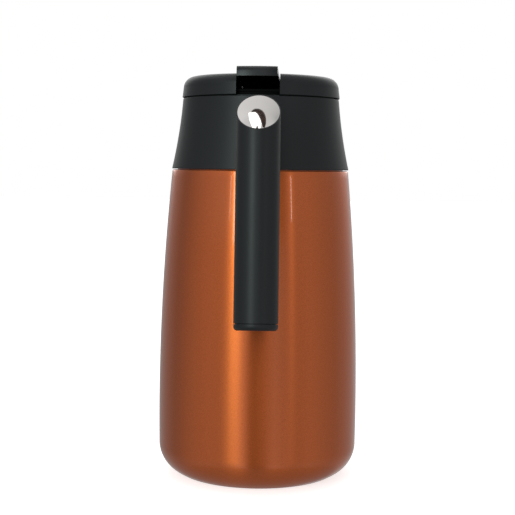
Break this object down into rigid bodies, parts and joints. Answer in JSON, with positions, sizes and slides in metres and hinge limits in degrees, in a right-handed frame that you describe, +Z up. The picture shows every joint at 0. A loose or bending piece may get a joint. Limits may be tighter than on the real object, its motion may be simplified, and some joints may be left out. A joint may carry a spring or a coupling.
{
  "type": "vacuum carafe",
  "caption": "Double-wall steel vacuum carafe with a tapered copper body, a dark flared collar with a spout, a bar handle, and a screw-in lid whose thumb lever opens a pouring valve.",
  "frame": {"origin": "centre of the underside of the base pad, on the body's axis", "axes": "+Z up along the body's axis, the handle points along -Y, the spout along +Y, +X completes the right-handed frame"},
  "size_m": [0.1268, 0.1845, 0.2565],
  "materials": {
    "copper_lacquer": "fine metallic copper lacquer, satin",
    "steel": "brushed stainless steel",
    "charcoal_plastic": "satin charcoal moulded plastic",
    "black_plastic": "matt black moulded plastic",
    "chrome": "polished chrome",
    "silicone": "translucent grey silicone",
    "black_rubber": "matt black rubber",
    "brass": "turned brass"
  },
  "bodies": {
    "jug": {"outer_shell": "copper_lacquer", "inner_liner": "steel", "base_plate": "steel", "vacuum_seal_cap": "steel", "getter_capsule": "steel", "base_pad": "black_rubber", "collar": "charcoal_plastic", "pour_channel": "charcoal_plastic", "neck_sleeve": "black_plastic", "neck_gasket": "silicone", "handle_grip": "charcoal_plastic", "handle_cap": "chrome", "handle_end_plug": "charcoal_plastic", "handle_bolt": "steel", "bolt_washer": "steel", "collar_insert": "brass"},
    "lid_lift": {"stopper_gasket": "silicone"},
    "lid": {"stopper_body": "black_plastic", "lid_cover": "charcoal_plastic", "lever_tray": "black_plastic", "lever_pin": "steel", "stem_seal": "silicone", "valve_spring": "steel", "tray_screw_1": "steel", "tray_screw_2": "steel", "tray_screw_3": "steel", "tray_screw_4": "steel"},
    "lever": {"lever": "charcoal_plastic"},
    "valve": {"valve_button": "black_plastic", "valve_stem": "steel", "valve_plate": "black_plastic", "valve_seal": "silicone"}
  },
  "joints": [
    {"name": "lid_rise", "type": "slide", "parent": "jug", "child": "lid_lift", "axis": [0, 0, 1], "range_m": [0, 0.04]},
    {"name": "lid_turn", "type": "hinge", "parent": "lid_lift", "child": "lid", "pos_m": [0, 0, 0.2396], "axis": [0, 0, 1], "range_deg": [0, 720]},
    {"name": "lever_press", "type": "hinge", "parent": "lid", "child": "lever", "pos_m": [0.00061, 0.02199, 0.2472], "axis": [0.9996, -0.0279, 0], "range_deg": [0, 5.5], "stiffness_Nm_per_rad": 2, "springref_deg": -4.58},
    {"name": "valve_open", "type": "slide", "parent": "lid", "child": "valve", "axis": [0, 0, -1], "range_m": [0, 0.0022], "deforming": ["valve_spring"]}
  ],
  "couplings": [
    {"joint": "lid_rise", "follows": "lid_turn", "m_per_rad": 0.0031831},
    {"joint": "valve_open", "follows": "lever_press", "m_per_rad": 0.022}
  ]
}
